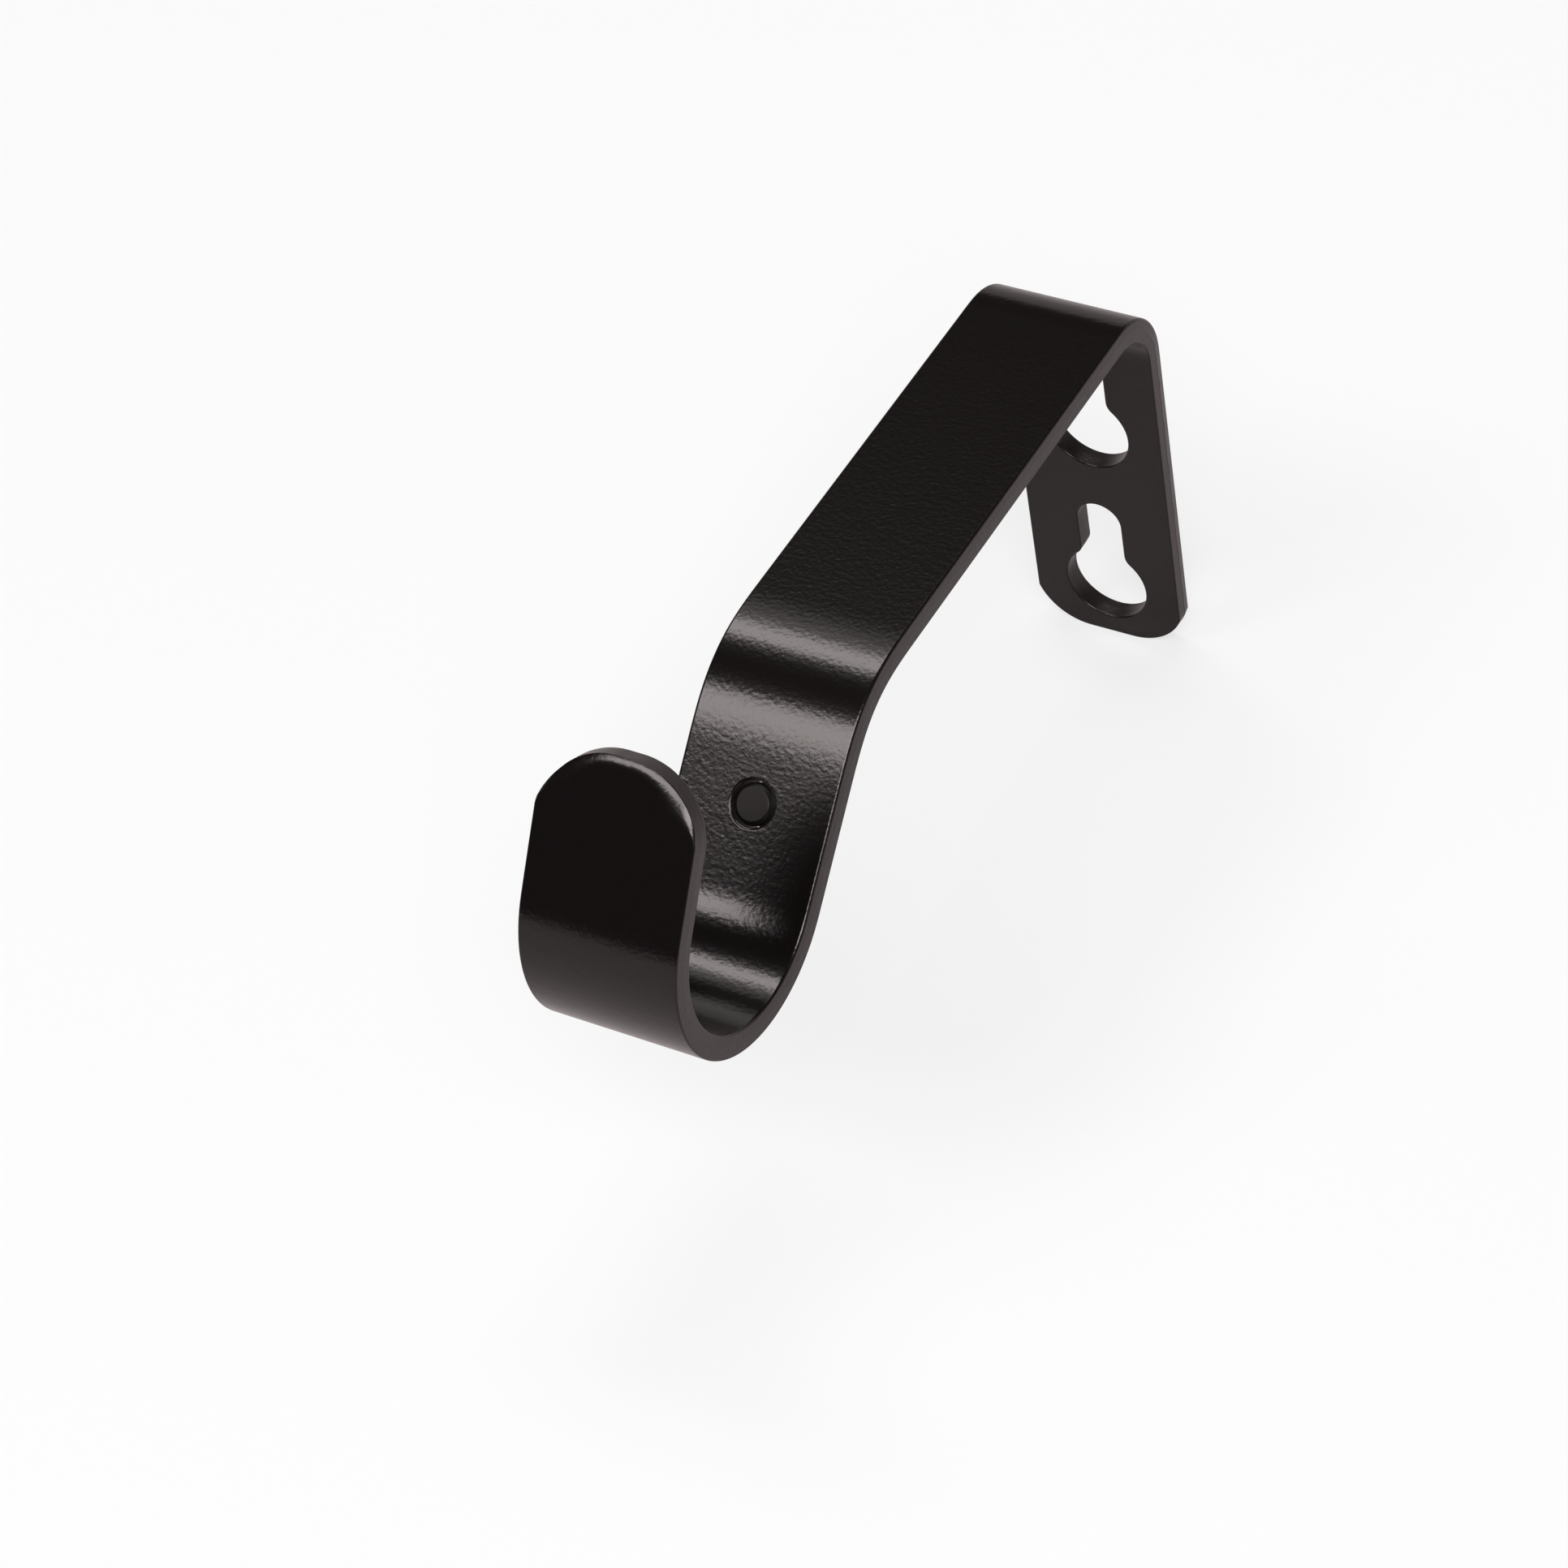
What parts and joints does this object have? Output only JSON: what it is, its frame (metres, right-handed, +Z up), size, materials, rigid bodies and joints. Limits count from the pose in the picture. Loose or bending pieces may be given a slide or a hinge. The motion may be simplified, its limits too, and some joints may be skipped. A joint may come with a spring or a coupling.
{
  "type": "curtain pole bracket",
  "caption": "Wall bracket bent from one steel strip: keyholed wall plate, level arm and open hook for a curtain pole, with a locking set screw.",
  "frame": {"origin": "back face of the wall plate, on the strip's centre line, midway between the two keyholes", "axes": "+X along the pole, +Y into the wall, +Z up; the hook reaches out towards -Y"},
  "size_m": [0.02, 0.118, 0.072],
  "materials": {
    "powder_coat": "semi-gloss dark bronze powder coat with a fine orange peel",
    "blackened_steel": "black oxide, satin"
  },
  "bodies": {
    "root": {"bracket_strip": "powder_coat", "set_screw": "blackened_steel"}
  },
  "joints": []
}
